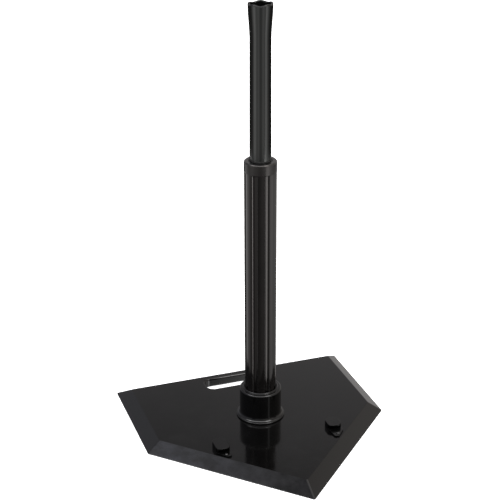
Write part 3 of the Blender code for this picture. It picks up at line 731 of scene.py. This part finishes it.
def upper_tube(finish):
    """A tube turned on its axis: flange, grip ring's seat, bead, taper, flare, rim and bore."""
    low, top = TUBE_LOW.z, TUBE_HIGH.z
    rim_r = (CUP_R - CUP_BORE_R) / 2
    seat_z, bead_z = RING_LOW.z - SEAT, RING_HIGH.z + SEAT
    profile = [(TUBE_FLANGE_R, low), (TUBE_FLANGE_R, seat_z), (TUBE_LOW_R, seat_z), (TUBE_LOW_R, bead_z)]
    profile += [(TUBE_BEAD_R[0], bead_z), (TUBE_BEAD_R[1], TUBE_BEAD_Z[0])]
    profile += [(TUBE_LOW_R, z) for z in span(TUBE_BEAD_Z[1], TUBE_TAPER_Z, 6)]
    profile += list(zip(span(TUBE_LOW_R, TUBE_HIGH_R, 8)[1:], span(TUBE_TAPER_Z, FLARE_Z, 8)[1:]))
    rim_z = top - rim_r
    for share in span(0, 1, 16)[1:-1]:
        reach = (CUP_R - TUBE_HIGH_R) * (FLARE_STRAIGHT * share + (1 - FLARE_STRAIGHT) * smooth(share))
        profile.append((TUBE_HIGH_R + reach, FLARE_Z + (rim_z - FLARE_Z) * share))
    profile += arc(CUP_R - rim_r, rim_z, rim_r, 0, 180, 14)
    for share in span(0, 1, 10)[1:]:
        bore = CUP_BORE_R + (TUBE_BORE_R - CUP_BORE_R) * smooth(share)
        profile.append((bore, rim_z + (FLARE_Z - rim_z) * share))
    profile.append((TUBE_BORE_R, low))
    mesh = finish_mesh(loft([cup_ring(r, z) for r, z in profile], around=True), "tube_shell")
    return add_piece("tube_shell", mesh, "top", finish, "upper_tube")


def flex_coil(finish):
    """The steel coil: a round wire swept along a helix inside the upper tube's bore."""
    coil_r = TUBE_BORE_R - SEAT - COIL_WIRE_R
    bottom = COIL_LOW.z + COIL_WIRE_R
    climb = (COIL_HIGH.z - COIL_LOW.z - 2 * COIL_WIRE_R) / COIL_TURNS
    slope = atan2(climb, 2 * pi * coil_r)
    rings = []
    for step in range(COIL_TURNS * COIL_STEPS + 1):
        turn = 2 * pi * step / COIL_STEPS
        outward = Vector((cos(turn), sin(turn), 0))
        along = Vector((-sin(turn) * cos(slope), cos(turn) * cos(slope), sin(slope)))
        upward = outward.cross(along)
        centre = outward * coil_r + Vector((0, 0, bottom + climb * step / COIL_STEPS))
        angles = [2 * pi * i / COIL_SIDES for i in range(COIL_SIDES)]
        rings.append([centre + (outward * cos(a) + upward * sin(a)) * COIL_WIRE_R for a in angles])
    mesh = finish_mesh(loft(rings), "coil_shell")
    return add_piece("coil_shell", mesh, "top", finish, "flex_coil")


def coil_plug(finish):
    plug_r, edge = COIL_PLUG_HIGH.x, COIL_PLUG_ROUND
    profile = [(plug_r, COIL_PLUG_LOW.z)] + arc(plug_r - edge, COIL_PLUG_HIGH.z - edge, edge, 0, 90, 6)
    mesh = finish_mesh(turned(profile), "coil_plug_shell")
    return add_piece("coil_plug_shell", mesh, "top", finish, "coil_plug")


# ---- studio ---------------------------------------------------------------------------------------


def studio_floor():
    """A plain pale floor just under the plate. It mirrors nothing and shows in no mirror image."""
    bm = bmesh.new()
    bmesh.ops.create_grid(bm, x_segments=1, y_segments=1, size=FLOOR_HALF)
    bmesh.ops.translate(bm, vec=(0, 0, FLOOR_Z), verts=bm.verts)
    mesh = bpy.data.meshes.new("studio_floor")
    bm.to_mesh(mesh)
    bm.free()
    floor = bpy.data.objects.new("studio_floor", mesh)
    bpy.context.scene.collection.objects.link(floor)
    made = bpy.data.materials.new("pale_floor")
    made.use_nodes = True
    tree = made.node_tree
    shader = tree.nodes["Principled BSDF"]
    shader.inputs["Base Color"].default_value = (0.9, 0.9, 0.9, 1)
    shader.inputs["Roughness"].default_value = 0.9
    shader.inputs["Emission Color"].default_value = (1, 1, 1, 1)
    shader.inputs["Emission Strength"].default_value = 0.8
    mesh.materials.append(made)
    floor.visible_glossy = False
    floor.visible_diffuse = False
    floor.visible_shadow = False


# What the glossy black surfaces mirror, as (degrees from the camera's side, brightness). Below the horizon:
LOW_LIGHT = ((-180, 0.02), (-162, 0.02), (-150, 0.06), (-140, 0.25), (-132, 1.1), (-124, 2.3), (-114, 1.5),
             (-104, 0.9), (-92, 0.8), (-80, 0.42), (-66, 0.3), (-50, 0.5), (-38, 0.5), (-26, 0.35),
             (-17, 0.13), (0, 0.24), (8, 0.34), (33, 0.35), (35, 0.6), (39, 3.8), (57, 4.0), (63, 0.8),
             (72, 1.25), (90, 1.15), (104, 0.62), (120, 0.5), (138, 0.7), (160, 0.3), (180, 0.05))
# which fades by height towards the feet, in degrees:
LOW_FADE = ((-40, 0.4), (-30, 0.6), (-26, 0.85), (-22, 1.05), (-10, 1.1))
# on the ground further out, which the upper tube mirrors:
FAR_LIGHT = ((-180, 0.0), (-130, 0.05), (-95, 0.15), (-78, 0.9), (-62, 1.9), (-50, 1.2), (-37, 0.75),
             (-25, 1.1), (-2, 0.45), (10, 0.6), (20, 1.05), (32, 1.0), (44, 0.7), (56, 2.1), (68, 1.1),
             (84, 0.4), (100, 0.1), (130, 0.03), (180, 0.0))
FAR_REACH = (1.40, 5.0)
FLOOR_HALF = 6
FLOOR_Z = -0.0004
CARD_Z = -0.002
# above it and towards the horizon, by degrees of height:
HIGH_LIGHT = ((-20, 0.5), (-8, 0.4), (0, 0.36), (10, 0.35), (20, 0.37), (28, 0.38), (31, 0.31), (34, 0.21),
              (38, 0.21), (46, 0.5), (56, 0.85), (64, 0.9), (90, 1.0))
# and a factor on that by how far to the side it lies, with a cool left and a warm right:
SIDE_LIGHT = ((-0.8, 1.05), (-0.6, 1.05), (-0.41, 1.1), (-0.3, 1.0), (-0.08, 0.95), (0, 0.98), (0.06, 1.15),
              (0.3, 1.3), (0.6, 1.5), (0.8, 1.5))
LOW_TO_HIGH = (-18.0, -13.0)
COOL, WARM = (0.97, 0.98, 1.08), (1.06, 1.0, 0.94)
# Softboxes: azimuth from and to, height from and to in degrees, and brightness
SOFTBOXES = ((34, 60, 40, 54, 6.5), (-88, -62, 40, 54, 4.0), (-70, 40, 42, 54, 4.0), (44, 46, 22, 34, 3.0))
SOFT_EDGE = 5
RAMP_PEAK = 4.0


class Sky:
    """A short way to write the nodes of a world or a light card."""

    def __init__(self, tree):
        self.tree = tree
        tree.nodes.clear()

    def add(self, kind, *sources, **settings):
        node = self.tree.nodes.new(kind)
        for key, value in settings.items():
            setattr(node, key, value)
        for socket, source in zip(node.inputs, sources):
            if hasattr(source, "is_output"):
                self.tree.links.new(source, socket)
            elif source is not None:
                socket.default_value = source
        return node

    def maths(self, operation, first, second=0.0):
        return self.add("ShaderNodeMath", first, second, operation=operation).outputs[0]

    def ramp(self, value, stops, low_tint=(1, 1, 1), high_tint=(1, 1, 1)):
        low, high = stops[0][0], stops[-1][0]
        share = self.add("ShaderNodeMapRange", value, float(low), float(high), 0.0, 1.0).outputs[0]
        node = self.add("ShaderNodeValToRGB", share)
        while len(node.color_ramp.elements) < len(stops):
            node.color_ramp.elements.new(1.0)
        for element, (place, level) in zip(node.color_ramp.elements, stops):
            part = (place - low) / (high - low)
            tint = [a + (b - a) * part for a, b in zip(low_tint, high_tint)]
            element.position = part
            element.color = (*(level / RAMP_PEAK * t for t in tint), 1)
        return node.outputs[0]

    def azimuth(self, way):
        """Degrees round from the camera's side, positive to its right, with the split direction."""
        turned_way = self.add("ShaderNodeVectorRotate", way, rotation_type="Z_AXIS")
        turned_way.inputs["Angle"].default_value = -CAMERA_AZIMUTH
        split = self.add("ShaderNodeSeparateXYZ", turned_way.outputs[0])
        backward = self.maths("MULTIPLY", split.outputs[1], -1.0)
        round_way = self.maths("ARCTAN2", split.outputs[0], backward)
        return self.maths("DEGREES", round_way), split

    def product(self, first, second, kind="MULTIPLY", share=1.0):
        node = self.tree.nodes.new("ShaderNodeMix")
        node.data_type, node.blend_type = "RGBA", kind
        for socket, source in zip((node.inputs[0], node.inputs[6], node.inputs[7]), (share, first, second)):
            if hasattr(source, "is_output"):
                self.tree.links.new(source, socket)
            else:
                socket.default_value = source
        return node.outputs[2]

    def window(self, value, low, high):
        """1 between low and high, falling to 0 over SOFT_EDGE degrees on either side."""
        rise = self.add("ShaderNodeMapRange", value, low - SOFT_EDGE, float(low), 0.0, 1.0).outputs[0]
        fall = self.add("ShaderNodeMapRange", value, float(high), high + SOFT_EDGE, 1.0, 0.0).outputs[0]
        return self.maths("MULTIPLY", rise, fall)


def studio_world():
    """White to the camera. To the surfaces, a soft studio: bright overhead, softboxes high at both sides."""
    world = bpy.data.worlds.new("soft_studio")
    bpy.context.scene.world = world
    world.use_nodes = True
    sky = Sky(world.node_tree)
    azimuth, split = sky.azimuth(sky.add("ShaderNodeTexCoord").outputs["Generated"])
    height = sky.maths("DEGREES", sky.maths("ARCSINE", split.outputs[2]))
    low = sky.product(sky.ramp(azimuth, LOW_LIGHT), sky.ramp(height, LOW_FADE))
    low = sky.product(low, (RAMP_PEAK, RAMP_PEAK, RAMP_PEAK, 1))
    high = sky.product(sky.ramp(height, HIGH_LIGHT), sky.ramp(split.outputs[0], SIDE_LIGHT, COOL, WARM))
    high = sky.product(high, (RAMP_PEAK, RAMP_PEAK, RAMP_PEAK, 1))
    for left, right, bottom, top, level in SOFTBOXES:
        lit = sky.maths("MULTIPLY", sky.window(azimuth, left, right), sky.window(height, bottom, top))
        lit = sky.maths("MULTIPLY", lit, level / RAMP_PEAK)
        glow = sky.add("ShaderNodeCombineXYZ", lit, lit, lit).outputs[0]
        high = sky.product(high, glow, "ADD")
    above = sky.add("ShaderNodeMapRange", height, *LOW_TO_HIGH, 0.0, 1.0).outputs[0]
    mixed = sky.product(low, high, "MIX", above)
    soft = sky.add("ShaderNodeBackground", mixed, RAMP_PEAK)
    white = sky.add("ShaderNodeBackground", (1, 1, 1, 1), 1.0)
    seen = sky.add("ShaderNodeLightPath").outputs["Is Camera Ray"]
    both = sky.add("ShaderNodeMixShader", seen, soft.outputs[0], white.outputs[0])
    sky.add("ShaderNodeOutputWorld", both.outputs[0])


def far_card():
    """A ring on the ground, seen only in gloss, which lights the upper tube's mirror image of the floor."""
    bm = bmesh.new()
    near, far = ([bm.verts.new(point) for point in circle(reach, CARD_Z)] for reach in FAR_REACH)
    for i in range(ROUND_STEPS):
        j = (i + 1) % ROUND_STEPS
        bm.faces.new((near[i], far[i], far[j], near[j]))
    mesh = bpy.data.meshes.new("far_card")
    bm.to_mesh(mesh)
    bm.free()
    card = bpy.data.objects.new("far_card", mesh)
    bpy.context.scene.collection.objects.link(card)
    glow = bpy.data.materials.new("card_glow")
    glow.use_nodes = True
    sky = Sky(glow.node_tree)
    azimuth = sky.azimuth(sky.add("ShaderNodeTexCoord").outputs["Object"])[0]
    light = sky.add("ShaderNodeEmission", sky.ramp(azimuth, FAR_LIGHT), RAMP_PEAK)
    sky.add("ShaderNodeOutputMaterial", light.outputs[0])
    mesh.materials.append(glow)
    card.visible_camera = False
    card.visible_diffuse = False
    card.visible_shadow = False


def studio_camera():
    """The camera stands back from the post's foot, offset sideways and up, and is rolled."""
    a, e = CAMERA_AZIMUTH, CAMERA_ELEVATION
    back = Vector((sin(a) * cos(e), -cos(a) * cos(e), sin(e)))
    level = Vector((0, 0, 1)).cross(back).normalized()
    upright = back.cross(level)
    right = level * cos(CAMERA_ROLL) + upright * sin(CAMERA_ROLL)
    up = upright * cos(CAMERA_ROLL) - level * sin(CAMERA_ROLL)
    lens = bpy.data.cameras.new("camera")
    lens.lens = CAMERA_LENS
    lens.sensor_width = 36
    lens.shift_x, lens.shift_y = CAMERA_SHIFT
    camera = bpy.data.objects.new("camera", lens)
    bpy.context.scene.collection.objects.link(camera)
    place = back * CAMERA_DISTANCE + right * CAMERA_RIGHT + up * CAMERA_UP
    camera.matrix_world = Matrix.Translation(place) @ Matrix((right, up, back)).transposed().to_4x4()
    bpy.context.scene.camera = camera


# ---- assembly -------------------------------------------------------------------------------------

base_plate(moulded("plate_finish", 0.0015, 0.10, tint=(1.0, 0.97, 0.97), grain_depth=0.000008, dust=0.15,
                   extra=plate_bevel_gloss_and_painted_reflection))
socket_collar(moulded("collar_finish", 0.0018, 0.08, grain_depth=0.000006, dust=0.1))
hook_finish = moulded("hook_finish", 0.0016, 0.12, grain_depth=0.00001, dust=0.25, extra=hook_gloss_and_painted_side_shade)
lower_tube(moulded("stem_finish", 0.0045, 0.10, tint=(1.0, 0.90, 0.86), grain_depth=0.000008, dust=0.1,
                   extra=flute_painted_light_and_gloss, sheen=(1.0, 0.94, 0.91)))
upper_tube(moulded("tube_finish", 0.0035, 0.09, tint=(0.98, 1.0, 0.95), grain_depth=0.000008, dust=0.1,
                   extra=tube_mouth_painted_highlight, sheen=(0.985, 1.0, 0.975)))
dark_plastic = moulded("hidden_plastic_finish", 0.010, 0.35)
bush_finish = moulded("bush_finish", 0.0030, 0.30, dust=0.1)
grip_finish = moulded("grip_finish", 0.0080, 0.55, grain_depth=0.00006)
steel = metal("steel_finish", 0.5, 0.3)
rivet_finish = metal("rivet_finish", 0.11, 0.36)
for name, side in (("left", -1), ("right", 1)):
    hook_shell(name, side, hook_finish)
    rivet_shell(name, side, rivet_finish)
lock_ring(steel)
socket_floor(dark_plastic)
stem_plug(dark_plastic)
mouth_bush(bush_finish)
grip_ring(grip_finish)
flex_coil(steel)
coil_plug(dark_plastic)
studio_floor()
studio_world()
far_card()
studio_camera()
bpy.context.scene.view_settings.view_transform = "Standard"
